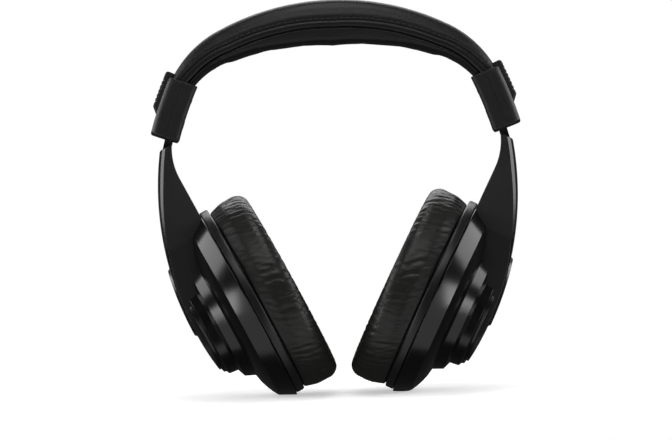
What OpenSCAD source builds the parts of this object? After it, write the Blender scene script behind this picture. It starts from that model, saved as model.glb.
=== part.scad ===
// Closed-back over-ear headphones with a sprung, padded headband.
// Millimetres. +Z is up, +X points to the wearer's left ear, -Y is forwards.
// The origin is the middle of the headband's underside, where it rests on the head.

/* [Headband] */
// Outer radius of the arc over the crown
crown_r = 120; // [118:0.5:122]
// Outer radius of the tighter arc above each housing
shoulder_r = 52; // [51:0.5:53]
// Angle from the top at which the tighter arc starts
shoulder_start = 27; // [26:0.5:28]
// Width of the band, front to back
band_w = 34; // [33:0.5:36]
// Depth of the band at the crown, from the top cover to the underside
band_depth = 21; // [20.5:0.1:21.5]
// Depth of the top cover's lower edge at the crown
cover_depth = 9.2; // [8.8:0.1:9.6]
// Depth of the piping's lower edge at the crown
core_depth = 12.7; // [12.4:0.1:13]
// Thickness of the leatherette skins
skin_t = 1; // [0.8:0.1:1.2]
// Thickness of the spring steel strip
spring_t = 0.8; // [0.6:0.1:1]
// Width of the spring steel strip
spring_w = 28; // [27:0.5:28]

/* [Slider housing] */
// Distance of the housing's middle from the centre plane
housing_x = 77.3; // [77:0.05:77.5]
// Height of the housing's middle
housing_z = -28.6; // [-28.8:0.1:-28.4]
// Lean of the housing's middle from the vertical
housing_lean = 20.6; // [20:0.1:21]
// Radius of the housing's curve
housing_r = 175; // [170:1:180]
// Length of the housing along its curve
housing_len = 28; // [27.5:0.1:28.2]
// Thickness of the housing, inside to outside
housing_t = 14.6; // [14.2:0.1:14.8]
// Width of the housing, front to back
housing_w = 37; // [36.5:0.1:38]
// Wall of the housing
housing_wall = 1.8; // [1.6:0.1:1.9]
// Height of the ribbed grip above the housing's face
grip_h = 2.7; // [2.4:0.1:3]
// Distance from one grip rib to the next
rib_pitch = 2.1; // [2:0.05:2.2]

/* [Slider stem] */
// Distance of the stem's visible length from the centre plane
stem_x = 80.1; // [80:0.05:80.3]
// Height of the middle of the stem's visible length
stem_z = -45.2; // [-45.4:0.1:-45]
// Lean of the sliding direction from the vertical
stem_lean = 15; // [14:0.5:16]
// Thickness of the stem
stem_t = 3.9; // [3.7:0.1:4]
// Width of the stem
stem_w = 18; // [17:0.5:18]
// Length of the stem above its visible length
stem_up = 34.5; // [33:0.1:35]
// Distance between the detent ridges
detent_pitch = 2.5; // [2:0.1:3]

/* [Arm] */
// Radius of the arm's outer curve
arm_curve_r = 145.7; // [144:0.1:147]
// Width of the arm across the cup
arm_w = 40; // [39:0.5:41]
// Width of the arm at its neck
neck_w = 28; // [27:0.5:30]
// Wall of the arm and of the cup
wall = 2.4; // [2.2:0.1:2.6]
// Height of the arm's top end above the cup's axis
arm_top = 83.7; // [83:0.1:84]
// Diameter of the round badge
badge_d = 34.6; // [33:0.1:35]
// Height of the badge above the arm's surface
badge_h = 0.7; // [0.5:0.1:0.9]

/* [Ear cup] */
// Distance of the cup's middle from the centre plane
cup_x = 40.3; // [40:0.1:41]
// Height of the cup's middle
cup_z = -119.8; // [-121:0.1:-119]
// Tilt of the cup's plane from the vertical
cup_tilt = 26.65; // [26:0.05:27]
// Turn of each side about the vertical, front edges inwards
toe_in = 3.7; // [3:0.1:4]
// Radius of the cup's rim
rim_r = 49.4; // [49:0.1:50]
// Radius of the ring between the rim and the cushion
flange_r = 48.6; // [48:0.1:49]

/* [Ear cushion] */
// Depth of the cushion
cushion_depth = 17.3; // [17:0.1:19]
// Radius of the ear well
well_r = 27; // [26:0.5:28]
// Corner radius of the cushion's face
cushion_round = 9; // [8:0.5:9.4]

/* [Driver] */
// Radius of the driver's frame
driver_r = 20.5; // [19.5:0.1:20.5]
// Radius of the driver's magnet cup
magnet_r = 12; // [11:0.5:13]

/* [Cable gland] */
// Radius of the bore that the cord goes through
gland_bore_r = 1.75; // [1.5:0.05:1.8]
// Radius of the gland's neck in the cup wall
gland_neck_r = 2.9; // [2.8:0.05:3]

/* [Hidden] */
$fn = 96;
EPS = 0.01;
FAR = 200;

// How fast each depth of the band falls from the crown to the ends, mm per degree
BAND_FALL = 0.175;
COVER_FALL = 0.055;
CORE_FALL = 0.085;
SPRING_DEPTH = 10.5;
SPRING_FALL = 0.07;
BAND_END = 66;
BAND_STEP = 3;
crown_z = band_depth - crown_r;
shoulder_x = (crown_r - shoulder_r) * sin(shoulder_start);
shoulder_z = crown_z + (crown_r - shoulder_r) * cos(shoulder_start);
piping_w = 2.2;
PIPING_PROUD = 0.5;
wire_d = 1;

housing_arc = housing_len / housing_r * 180 / PI;
lean_low = housing_lean - housing_arc / 2;
lean_high = housing_lean + housing_arc / 2;
housing_cx = housing_x - housing_r * cos(housing_lean);
housing_cz = housing_z - housing_r * sin(housing_lean);
OUTER_CORNER = 4.5;
INNER_CORNER = 2.2;
FLOOR_ARC = 0.8;
MOUTH_GAP = 0.1;
GRIP_W = 26;
RIB_H = 0.7;
GRIP_FOOT = 19.2;
GRIP_TOP = 25.6;
SLIDE_GAP = 0.15;
TINE_SLOT_W = 20.4;
TINE_END = 20.9;
TINE_OUT = -2.2;
RIVET_LEAN = 22.6;
RIVET_Y = 12.2;
CASE_SCREW_LEAN = 18.6;
CASE_SCREW_Y = 14.6;

// Depths along the cup's axis, measured outwards from the gap behind the cushion
RIM_A = 5.1;
BAND_A = 13;
BAND_R = 45.4;
DOME_A = 18;
DOME_R = 31.9;
STEP_A = 22.8;
STEP_R = 30;
DISC_A = 24.2;
DISC_R = 25.7;
ARM_FOOT_R = 21.4;
TOP_A = 28.6;
FLANGE_LOW = 0.7;
FLANGE_HIGH = 4.3;
arm_axis_a = 33.5 - arm_curve_r;
ARM_INNER_A = 5.2;
NECK_CURVE_R = 30;
NECK_START = 67.7;
TAPER_START = 40;
COVER_TOP = 62;
COVER_LOW = 50.6;
FOOT_W = 14;
SPIGOT_R = 45;
SCREW_RING_R = 41;
SCREW_R = 1;
HEAD_R = 1.9;
BADGE_TURN = 5.9;
GLAND_NECK = 5;
BADGE_BEVEL = 0.5;

// ---- placing ----

// One side of the headphones: the left side as drawn, or its mirror image.
module side(name) {
    mirror([name == "right" ? 1 : 0, 0, 0])
        translate([housing_x, 0, 0])
            rotate([0, 0, -toe_in])
                translate([-housing_x, 0, 0])
                    children();
}

// Cup frame: +Z outwards along the cup's axis, +X down the cup's plane.
module in_cup() {
    translate([cup_x, 0, cup_z]) rotate([0, 90 + cup_tilt, 0]) children();
}

// Stem frame: +Z up the sliding direction, +X outwards.
module in_stem() {
    translate([stem_x, 0, stem_z]) rotate([0, -stem_lean, 0]) children();
}

// Housing frame at one lean along its curve: +X outwards, +Z up the curve.
module in_housing(lean) {
    translate([housing_cx, 0, housing_cz]) rotate([0, -lean, 0]) translate([housing_r, 0, 0])
        children();
}

// Sweeps a profile (x outwards, y front to back) along the housing's curve.
module housing_sweep(from, to) {
    translate([housing_cx, 0, housing_cz]) rotate([90, 0, 0]) rotate([0, 0, from])
        rotate_extrude(angle = to - from) translate([housing_r, 0]) children();
}

// Turns a profile of [radius, distance along the cup's axis] points.
module turned(points) {
    rotate_extrude() polygon(points);
}

// Outline drawn in [down the cup, outwards], as wide as asked, front to back.
module across_cup(width) {
    rotate([90, 0, 0]) linear_extrude(width, center = true) children();
}

// ---- shared shapes ----

function arc(centre, r, from, to, steps) =
    [for (i = [0:steps]) let (a = from + (to - from) * i / steps)
        [centre[0] + r * cos(a), centre[1] + r * sin(a)]];

// Points of a shallow bulge between two points, both ends included.
function bulge(p, q, height, steps) =
    let (along = q - p, side = [along[1], -along[0]] / norm(along))
    [for (i = [0:steps]) let (t = i / steps) p + along * t + side * height * 4 * t * (1 - t)];

// Rectangle from x0 to x1 and of the given width, with its own corner radius at each x end.
function rounded(x0, x1, width, r0, r1) = concat(
    arc([x1 - r1, width / 2 - r1], r1, 0, 90, 6),
    arc([x0 + r0, width / 2 - r0], r0, 90, 180, 6),
    arc([x0 + r0, r0 - width / 2], r0, 180, 270, 6),
    arc([x1 - r1, r1 - width / 2], r1, 270, 360, 6));

// ---- headband ----

// Point of the band at an angle from the top, some depth below its outer face.
function band_point(angle, depth) =
    let (a = abs(angle), s = angle < 0 ? -1 : 1)
    a <= shoulder_start
        ? [s * (crown_r - depth) * sin(a), crown_z + (crown_r - depth) * cos(a)]
        : [s * (shoulder_x + (shoulder_r - depth) * sin(a)), shoulder_z + (shoulder_r - depth) * cos(a)];

// Side view of a layer whose upper and lower depths fall towards the band's ends.
module layer_outline(upper, upper_fall, lower, lower_fall, end) {
    polygon(concat(
        [for (a = [-end:BAND_STEP:end]) band_point(a, upper - upper_fall * abs(a))],
        [for (a = [end:-BAND_STEP:-end]) band_point(a, lower - lower_fall * abs(a))]));
}

// A layer of the band, between two y planes, which ends at the housings' mouths.
module band_layer(upper, upper_fall, lower, lower_fall, y0, y1, end = BAND_END) {
    difference() {
        translate([0, y1, 0]) rotate([90, 0, 0]) linear_extrude(y1 - y0)
            layer_outline(upper, upper_fall, lower, lower_fall, end);
        for (name = ["left", "right"]) side(name) in_housing(lean_high)
            translate([-FAR / 2, -FAR / 2, MOUTH_GAP - FAR]) cube(FAR);
    }
}

// Room for the stems' upper ends inside the band.
module stem_pockets() {
    for (name = ["left", "right"]) side(name) in_stem()
        translate([-stem_t / 2 - 0.3, -stem_w / 2 - 0.3, 0])
            cube([stem_t + 0.6, stem_w + 0.6, stem_up + 2.2]);
}

module spring_band() {
    color("#8d9196") difference() {
        union() {
            band_layer(SPRING_DEPTH, SPRING_FALL, SPRING_DEPTH + spring_t, SPRING_FALL,
                -spring_w / 2, spring_w / 2);
            for (name = ["left", "right"]) side(name) spring_tines();
        }
        for (name = ["left", "right"]) side(name) in_housing(lean_high)
            translate([-8, -TINE_SLOT_W / 2, -16]) cube([16, TINE_SLOT_W, 25]);
        for (name = ["left", "right"]) side(name) rivet_places() cylinder(h = 12, r = 1, center = true);
    }
}

// The two tines at an end of the spring strip, which run down inside the housing.
module spring_tines() {
    housing_sweep(TINE_END, lean_high + 0.1) translate([TINE_OUT, -spring_w / 2])
        square([spring_t, spring_w]);
}

module band_core() {
    color("#202022") difference() {
        band_layer(cover_depth, COVER_FALL, core_depth, CORE_FALL,
            piping_w - band_w / 2, band_w / 2 - piping_w);
        band_layer(SPRING_DEPTH, SPRING_FALL, SPRING_DEPTH + spring_t, SPRING_FALL,
            -spring_w / 2, spring_w / 2);
        for (name = ["left", "right"]) side(name) spring_tines();
        crossover_wire();
        stem_pockets();
    }
}

module band_foam() {
    color("#3a3a3c") difference() {
        band_layer(skin_t, 0, cover_depth, COVER_FALL, skin_t - band_w / 2, band_w / 2 - skin_t);
        stem_pockets();
    }
}

module band_cover() {
    color("#1b1b1c") difference() {
        band_layer(0, 0, cover_depth, COVER_FALL, -band_w / 2, band_w / 2);
        band_layer(skin_t, 0, cover_depth + 1, COVER_FALL, skin_t - band_w / 2, band_w / 2 - skin_t);
    }
}

module piping(y) {
    color("#1f1f20")
        band_layer(cover_depth, COVER_FALL, core_depth, CORE_FALL, y - piping_w / 2, y + piping_w / 2);
}

module piping_front() {
    translate([0, -PIPING_PROUD, 0]) piping(piping_w / 2 - band_w / 2);
}

module piping_rear() {
    translate([0, PIPING_PROUD, 0]) piping(band_w / 2 - piping_w / 2);
}

module pad_foam() {
    color("#3a3a3c") band_layer(core_depth, CORE_FALL, band_depth - skin_t, BAND_FALL,
        2 * skin_t - band_w / 2, band_w / 2 - 2 * skin_t);
}

module pad_cover() {
    color("#1b1b1c") difference() {
        band_layer(core_depth, CORE_FALL, band_depth, BAND_FALL, skin_t - band_w / 2, band_w / 2 - skin_t);
        band_layer(core_depth - 1, CORE_FALL, band_depth - skin_t, BAND_FALL,
            2 * skin_t - band_w / 2, band_w / 2 - 2 * skin_t);
    }
}

module crossover_wire() {
    middle = (cover_depth + core_depth) / 2;
    fall = (COVER_FALL + CORE_FALL) / 2;
    color("#7a1f1f") band_layer(middle - wire_d / 2, fall, middle + wire_d / 2, fall,
        spring_w / 2 + 0.2, spring_w / 2 + 0.2 + wire_d, 48);
}

// ---- slider housing ----

module stem_room(gap) {
    in_stem() translate([-stem_t / 2 - gap, -stem_w / 2 - gap, -12])
        cube([stem_t + 2 * gap, stem_w + 2 * gap, stem_up + 24]);
}

module rivet_places() {
    for (y = [-RIVET_Y, RIVET_Y]) in_housing(RIVET_LEAN) translate([0, y, 0]) rotate([0, 90, 0])
        children();
}

module case_screw_places() {
    for (y = [-CASE_SCREW_Y, CASE_SCREW_Y]) in_housing(CASE_SCREW_LEAN) translate([0, y, 0])
        rotate([0, 90, 0]) children();
}

// Both halves together, hollow, open at the mouth and slotted for the stem below.
module housing_case() {
    difference() {
        union() {
            difference() {
                housing_sweep(lean_low, lean_high) polygon(rounded(
                    -housing_t / 2, housing_t / 2, housing_w, INNER_CORNER, OUTER_CORNER));
                housing_sweep(lean_low + FLOOR_ARC, lean_high + 1) polygon(rounded(
                    housing_wall - housing_t / 2, housing_t / 2 - housing_wall,
                    housing_w - 2 * housing_wall, 1, OUTER_CORNER - housing_wall));
            }
            intersection() {
                union() {
                    rivet_places() translate([0, 0, -housing_t / 2 + 1]) cylinder(h = 4.8, r = 2.2);
                    case_screw_places() cylinder(h = housing_t - 2, r = 2, center = true);
                }
                housing_sweep(lean_low, lean_high) translate([-housing_t / 2, -housing_w / 2 + 1])
                    square([housing_t, housing_w - 2]);
            }
        }
        stem_room(SLIDE_GAP);
        spring_tines();
        rivet_places() cylinder(h = 3 * housing_t, r = 1, center = true);
        case_screw_places() screw_shape();
    }
}

// A screw or the hole it fills: its head lies in the housing's head side.
module screw_shape() {
    translate([0, 0, -housing_t / 2]) cylinder(h = housing_t - 2.4, r = SCREW_R);
    translate([0, 0, -housing_t / 2 - 1]) cylinder(h = 2.2, r = HEAD_R);
}

module housing_half(from, to) {
    color("#242425") intersection() {
        housing_case();
        housing_sweep(lean_low - 1, lean_high + 1) translate([from, -housing_w])
            square([to - from, 2 * housing_w]);
    }
}

module housing_outer() {
    housing_half(0, housing_t);
}

module housing_inner() {
    difference() {
        housing_half(-housing_t, 0);
        in_stem() detent_shape();
    }
}

module grip() {
    rib_arc = rib_pitch / (housing_r + housing_t / 2) * 180 / PI;
    face = housing_t / 2 + 0.12;
    color("#1a1a1b") {
        difference() {
            union() {
                housing_sweep(GRIP_FOOT, GRIP_TOP) translate([face, -GRIP_W / 2])
                    square([grip_h - RIB_H, GRIP_W]);
                for (i = [0:7]) housing_sweep(GRIP_FOOT + 0.5 + i * rib_arc, GRIP_FOOT + 0.87 + i * rib_arc)
                    translate([face + 1, 0.3 - GRIP_W / 2]) square([grip_h - 1, GRIP_W - 0.6]);
            }
            in_housing(GRIP_TOP) translate([face + 0.7, -GRIP_W, 0]) rotate([0, 40, 0])
                cube([8, 2 * GRIP_W, 8]);
            in_housing(GRIP_FOOT) translate([face, -GRIP_W, 0]) rotate([0, 45, 0])
                cube([8, 2 * GRIP_W, 8]);
        }
    }
}

// Leaf with a rounded nose that clicks over the ridges in the stem's channel.
module detent_shape() {
    leaf_x = -stem_t / 2 - 0.75;
    translate([leaf_x, -3, 2]) cube([0.4, 6, 11]);
    intersection() {
        translate([leaf_x + 0.3, 0, 7]) rotate([90, 0, 0]) cylinder(h = 4, r = 0.9, center = true);
        translate([leaf_x, -3, 2]) cube([3, 6, 11]);
    }
}

module detent_spring() {
    color("#9a9da1") in_stem() detent_shape();
}

module housing_screws() {
    color("#6f7174") case_screw_places() {
        difference() {
            screw_shape();
            translate([0, 0, -housing_t / 2 - 2]) cylinder(h = 2, r = HEAD_R + 1);
            for (a = [0, 90]) rotate([0, 0, a]) translate([0, 0, -housing_t / 2])
                cube([2.4, 0.5, 1], center = true);
        }
    }
}

module band_rivets() {
    color("#85888c") rivet_places() translate([0, 0, -housing_t / 2]) cylinder(h = 7.6, r = 1);
}

// ---- stem and arm ----

module stem_solid() {
    in_stem() translate([-stem_t / 2, -stem_w / 2, -5]) cube([stem_t, stem_w, stem_up + 5]);
    translate([stem_x - 0.6, -FOOT_W / 2, stem_z - 25]) cube([3.2, FOOT_W, 20.5]);
}

module stem() {
    channel_w = 6;
    color("#2a2a2b") difference() {
        stem_solid();
        in_stem() {
            difference() {
                translate([-stem_t / 2 - EPS, -channel_w / 2, -2]) cube([0.9, channel_w, stem_up - 0.4]);
                for (i = [0:12]) translate([-stem_t / 2 + 0.89, 0, i * detent_pitch])
                    rotate([90, 0, 0]) cylinder(h = channel_w, r = 0.3, center = true);
            }
            for (y = [-1, 1]) translate([-FAR / 2, y * (stem_w / 2 + 1.2), stem_up - 4])
                cube([FAR, 4, 6]);
        }
    }
}

// Front view of the arm: it narrows to the neck and ends in a round foot over the cup.
module arm_front(inset) {
    half = arm_w / 2 - inset;
    neck = neck_w / 2 - inset;
    polygon([
        [-arm_top, -neck], [-TAPER_START, -half], [0, -half],
        [0, half], [-TAPER_START, half], [-arm_top, neck]]);
    intersection() {
        circle(ARM_FOOT_R - inset);
        translate([-EPS, -half]) square([FAR, 2 * half]);
    }
}

// Side view of the arm: flat over the cup's plane, then a hollow curve up to the neck.
module arm_side() {
    polygon(concat(
        [[FAR, ARM_INNER_A]],
        arc([-NECK_START, ARM_INNER_A - NECK_CURVE_R], NECK_CURVE_R, 90, 90 + cup_tilt, 8),
        [[-arm_top, ARM_INNER_A - NECK_CURVE_R * (1 - cos(cup_tilt))
            - (arm_top - NECK_START - NECK_CURVE_R * sin(cup_tilt)) * tan(cup_tilt)],
         [-arm_top, FAR], [FAR, FAR]]));
}

module arm_solid(inset) {
    intersection() {
        linear_extrude(FAR, center = true) arm_front(inset);
        across_cup(arm_w) arm_side();
        translate([0, 0, arm_axis_a]) rotate([90, 0, 0])
            cylinder(h = FAR, r = arm_curve_r - inset, center = true, $fn = 360);
    }
}

// Inside of the arm, open to the cup and closed on the head side by the arm cover.
module arm_room() {
    intersection() {
        arm_solid(wall);
        across_cup(arm_w) polygon([
            [-COVER_TOP, 0], [-COVER_LOW, 0], [-COVER_LOW, 9], [14, 9], [14, FAR], [-COVER_TOP, FAR]]);
    }
}

cup_outline = concat(
    [[0, RIM_A], [rim_r - 0.3, RIM_A], [rim_r, RIM_A + 0.4]],
    bulge([BAND_R, BAND_A], [DOME_R, DOME_A], 0.8, 5),
    [[STEP_R, STEP_A - 0.3], [STEP_R - 0.3, STEP_A], [DISC_R, DISC_A],
     [DISC_R - 0.4, TOP_A], [23.6, 29.4], [23.2, 30.6], [20.8, 31.2], [0, 31.2]]);

cup_room = [[0, 0], [46.7, 0], [46.7, RIM_A], [43.4, 11.6],
    [30.5, 15.4], [28.4, 15.6], [27, 20.2], [0, 20.2]];

module screw_ring() {
    for (a = [45:90:315]) rotate([0, 0, a]) translate([SCREW_RING_R, 0, 0]) children();
}

module arm_shell(name) {
    color("#1c1c1d") difference() {
        union() {
            in_cup() difference() {
                union() {
                    turned(cup_outline);
                    arm_solid(0);
                }
                turned(cup_room);
                arm_room();
            }
            in_cup() intersection() {
                screw_ring() translate([0, 0, FLANGE_HIGH]) cylinder(h = 10, r = 3);
                turned([[0, 0], [48, 0], [48, RIM_A], [BAND_R - 1, BAND_A - 1],
                    [DOME_R, DOME_A - 1], [0, DOME_A]]);
            }
        }
        in_cup() screw_ring() cylinder(h = 9, r = SCREW_R);
        stem_solid();
        in_cup() arm_screw_places() cylinder(h = 9, r = SCREW_R);
        if (name == "left") in_gland() cylinder(h = 12, r = gland_neck_r, center = true);
    }
}

module arm_screw_places() {
    for (y = [-10, 10]) translate([-COVER_TOP - 1.2, y, ARM_INNER_A]) children();
}

module arm_cover() {
    color("#232324") in_cup() intersection() {
        arm_solid(wall + 0.1);
        across_cup(arm_w) polygon([
            [-COVER_TOP + 0.1, ARM_INNER_A], [-COVER_LOW - 0.1, ARM_INNER_A],
            [-COVER_LOW - 0.1, ARM_INNER_A + 2], [-COVER_TOP + 0.1, ARM_INNER_A + 2]]);
    }
}

module arm_screws() {
    color("#6f7174") in_cup() arm_screw_places() difference() {
        union() {
            cylinder(h = 8, r = SCREW_R);
            translate([0, 0, -0.7]) cylinder(h = 0.7, r1 = HEAD_R - 0.5, r2 = HEAD_R);
        }
        for (a = [0, 90]) rotate([0, 0, a]) translate([0, 0, -0.6]) cube([2.2, 0.5, 0.9], center = true);
    }
}

module badge() {
    color("#2e2e2f") in_cup() translate([0, 0, arm_axis_a]) intersection() {
        rotate([90, 0, 0]) difference() {
            cylinder(h = badge_d + 2, r = arm_curve_r + badge_h, center = true, $fn = 360);
            cylinder(h = badge_d + 4, r = arm_curve_r, center = true, $fn = 360);
        }
        rotate([0, -BADGE_TURN, 0]) translate([0, 0, arm_curve_r - 3])
            cylinder(h = 3 + badge_h + 0.01, r1 = badge_d / 2 + 1, r2 = badge_d / 2 - BADGE_BEVEL);
    }
}

// ---- ear cup insides ----

module baffle() {
    color("#212122") in_cup() difference() {
        turned([
            [driver_r + 0.1, 1.9], [44, 1.9], [44, FLANGE_LOW], [flange_r - 0.8, FLANGE_LOW],
            [flange_r, FLANGE_LOW + 0.9], [flange_r, FLANGE_HIGH - 0.9], [flange_r - 0.8, FLANGE_HIGH],
            [SPIGOT_R, FLANGE_HIGH], [SPIGOT_R, 6.8], [SPIGOT_R - 1.2, 6.8], [SPIGOT_R - 1.2, FLANGE_HIGH],
            [driver_r + 3, FLANGE_HIGH],
            [driver_r + 3, 6], [driver_r + 0.1, 6]]);
        screw_ring() translate([0, 0, -1]) cylinder(h = 9, r = SCREW_R);
    }
}

// The left baffle has a notch for the gland and its nut.
module baffle_with_notch() {
    difference() {
        baffle();
        in_gland() translate([0, 0, -5.6]) cylinder(h = 9, r = 5);
    }
}

module baffle_screws() {
    color("#6f7174") in_cup() screw_ring() difference() {
        union() {
            translate([0, 0, 1.1]) cylinder(h = 7.9, r = SCREW_R);
            translate([0, 0, 0.9]) cylinder(h = 1, r = HEAD_R);
        }
        for (a = [0, 90]) rotate([0, 0, a]) translate([0, 0, 1]) cube([2.2, 0.5, 0.6], center = true);
    }
}

module grille() {
    color("#161617") in_cup() difference() {
        turned([[0, 0.3], [driver_r + 2.5, 0.3], [driver_r + 2.5, 1.9], [driver_r - 0.5, 1.9],
            [driver_r - 1.5, 1.1], [0, 1.1]]);
        for (ring = [[0, 1], [5.5, 6], [11, 12], [16.4, 18]], i = [1:ring[1]])
            rotate([0, 0, i * 360 / ring[1]]) translate([ring[0], 0, -1])
                cylinder(h = 4, r = 1.7, $fn = 24);
    }
}

module scrim() {
    color("#0f0f10") in_cup() turned([[0, -1.5], [well_r + 3, -1.5], [well_r + 3, -0.9], [0, -0.9]]);
}

module cushion_plate() {
    color("#1a1a1a") in_cup() turned([[driver_r + 3, -0.9], [45, -0.9], [45, 0.7], [driver_r + 3, 0.7]]);
}

// Cushion section between two depths along the cup's axis, inset from the outer skin.
module cushion_section(inset) {
    base = -0.9;
    face = base - cushion_depth;
    r1 = cushion_round - inset;
    polygon(concat(
        arc([well_r + cushion_round, face + cushion_round], r1, 180, 270, 8),
        arc([rim_r - cushion_round, face + cushion_round], r1, 270, 360, 8),
        [[rim_r - inset, base - 4], [rim_r - inset - 1.6, base - inset / 2],
         [well_r + 3.2, base - inset / 2], [well_r + 3.2, base - 0.7], [well_r + inset, base - 0.7 - inset / 2]]));
}

module cushion_foam() {
    color("#3c3c3e") in_cup() rotate_extrude() cushion_section(skin_t);
}

module cushion_cover() {
    color("#1e1e1f") in_cup() difference() {
        rotate_extrude() cushion_section(0);
        rotate_extrude() cushion_section(skin_t);
    }
}

module driver_frame() {
    color("#2b2b2d") in_cup() turned([
        [driver_r - 2, 1.95], [driver_r, 1.95], [driver_r, 5], [magnet_r + 2, 6.5],
        [magnet_r + 2, 10], [magnet_r + 0.1, 10], [magnet_r + 0.1, 5.4], [driver_r - 2, 3.6]]);
}

module driver_magnet() {
    color("#8b8e92") in_cup() turned([
        [0, 5], [magnet_r, 5], [magnet_r, 10.5], [magnet_r - 0.8, 11.2], [0, 11.2]]);
}

module diaphragm() {
    color("#c9b98f") in_cup() turned(concat(
        bulge([0, 2.6], [driver_r - 2.1, 2.6], 0.5, 6),
        [[driver_r - 2.1, 2.9], [0, 2.9]]));
}

module damping_pad() {
    color("#505052") in_cup() turned([[0, 11.2], [24, 11.2], [24, 14.2], [0, 14.2]]);
}

// ---- cable inlet in the left cup ----

// Frame of the gland: its axis is vertical, through the lowest line of the cup's conical band.
module in_gland() {
    band_mid_r = (rim_r + BAND_R) / 2;
    band_mid_a = (RIM_A + BAND_A) / 2 + 0.2;
    in_cup() translate([band_mid_r, 0, band_mid_a]) rotate([0, 90 - cup_tilt, 0])
        translate([0, 0, 0.1]) children();
}

module cable_gland() {
    color("#1b1b1c") in_gland() difference() {
        union() {
            translate([0, 0, -GLAND_NECK]) cylinder(h = GLAND_NECK, r = gland_neck_r);
            cylinder(h = 1.4, r = 3.6);
            translate([0, 0, 1.4]) cylinder(h = 0.6, r1 = 3.6, r2 = 3);
        }
        translate([0, 0, -GLAND_NECK - 1]) cylinder(h = GLAND_NECK + 5, r = gland_bore_r);
    }
}

module gland_nut() {
    color("#3b3b3d") in_gland() difference() {
        translate([0, 0, -GLAND_NECK]) cylinder(h = 2, r = 4.4, $fn = 6);
        translate([0, 0, -GLAND_NECK - 1]) cylinder(h = 6, r = gland_neck_r);
    }
}

module terminal_board() {
    color("#2f5a3a") in_cup() translate([15, -7, 19]) cube([7, 14, 1.2]);
    color("#c0c2c5") in_cup() for (y = [-4, 0, 4]) translate([18.5, y, 18.2]) cylinder(h = 0.8, r = 1.1);
}

// ---- nodes ----

spring_band();
band_core();
band_foam();
band_cover();
piping_front();
piping_rear();
pad_foam();
pad_cover();
crossover_wire();
side("left") housing_outer();  // left_housing_outer
side("left") housing_inner();  // left_housing_inner
side("left") grip();  // left_grip
side("left") detent_spring();  // left_detent_spring
side("left") housing_screws();  // left_housing_screws
side("left") band_rivets();  // left_band_rivets
side("left") stem();  // left_stem
side("left") arm_shell("left");  // left_arm_shell
side("left") arm_cover();  // left_arm_cover
side("left") arm_screws();  // left_arm_screws
side("left") badge();  // left_badge
side("left") baffle_with_notch();  // left_baffle
side("left") baffle_screws();  // left_baffle_screws
side("left") grille();  // left_grille
side("left") scrim();  // left_scrim
side("left") cushion_plate();  // left_cushion_plate
side("left") cushion_foam();  // left_cushion_foam
side("left") cushion_cover();  // left_cushion_cover
side("left") driver_frame();  // left_driver_frame
side("left") driver_magnet();  // left_driver_magnet
side("left") diaphragm();  // left_diaphragm
side("left") damping_pad();  // left_damping_pad
side("left") cable_gland();  // left_cable_gland
side("left") gland_nut();  // left_gland_nut
side("left") terminal_board();  // left_terminal_board
side("right") housing_outer();  // right_housing_outer
side("right") housing_inner();  // right_housing_inner
side("right") grip();  // right_grip
side("right") detent_spring();  // right_detent_spring
side("right") housing_screws();  // right_housing_screws
side("right") band_rivets();  // right_band_rivets
side("right") stem();  // right_stem
side("right") arm_shell("right");  // right_arm_shell
side("right") arm_cover();  // right_arm_cover
side("right") arm_screws();  // right_arm_screws
side("right") badge();  // right_badge
side("right") baffle();  // right_baffle
side("right") baffle_screws();  // right_baffle_screws
side("right") grille();  // right_grille
side("right") scrim();  // right_scrim
side("right") cushion_plate();  // right_cushion_plate
side("right") cushion_foam();  // right_cushion_foam
side("right") cushion_cover();  // right_cushion_cover
side("right") driver_frame();  // right_driver_frame
side("right") driver_magnet();  // right_driver_magnet
side("right") diaphragm();  // right_diaphragm
side("right") damping_pad();  // right_damping_pad
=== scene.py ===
# %% [markdown]
# # Over-ear headphones, closed back
# A padded band with a steel spring inside holds two ear cups. Each cup and its arm are one
# moulding, and a flat stem slides in a housing at each end of the band. The CAD frame gives the
# places, sizes and joints. This lesson gives each visible piece its real edges, skins and finish.

import math

import bmesh
import bpy
import numpy as np
from mathutils import Matrix, Vector


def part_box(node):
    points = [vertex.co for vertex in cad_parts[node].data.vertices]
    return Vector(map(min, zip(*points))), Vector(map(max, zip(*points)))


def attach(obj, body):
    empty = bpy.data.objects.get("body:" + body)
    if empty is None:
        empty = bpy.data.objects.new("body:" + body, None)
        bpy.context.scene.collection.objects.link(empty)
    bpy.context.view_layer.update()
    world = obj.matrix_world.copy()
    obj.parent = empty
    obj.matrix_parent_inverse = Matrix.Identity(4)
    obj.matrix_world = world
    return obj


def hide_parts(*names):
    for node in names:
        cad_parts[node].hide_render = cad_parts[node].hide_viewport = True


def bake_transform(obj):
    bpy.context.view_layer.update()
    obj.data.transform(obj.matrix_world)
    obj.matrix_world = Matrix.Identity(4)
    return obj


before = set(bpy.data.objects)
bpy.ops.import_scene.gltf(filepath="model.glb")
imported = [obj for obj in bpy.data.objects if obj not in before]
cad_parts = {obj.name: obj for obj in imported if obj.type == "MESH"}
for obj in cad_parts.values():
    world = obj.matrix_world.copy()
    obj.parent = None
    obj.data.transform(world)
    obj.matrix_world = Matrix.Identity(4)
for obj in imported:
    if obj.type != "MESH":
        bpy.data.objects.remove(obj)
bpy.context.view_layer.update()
scene = bpy.context.scene

# %% [markdown]
# ## Driving sizes
# Every size is in millimetres, and one factor turns it to metres. The shapes hang on a few
# measures: the arcs of the band, the curve of the slider housing and the round ear cup.

# %% Sizes of the band, the housing and the cup
MM = 0.001
SIDES = ("left", "right")

CROWN_R, SHOULDER_R, SHOULDER_START = 120.0, 52.0, 27.0
BAND_W, BAND_DEPTH, COVER_DEPTH = 34.0, 21.0, 10.8
MOUTH_ANGLE = 64.8

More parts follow.
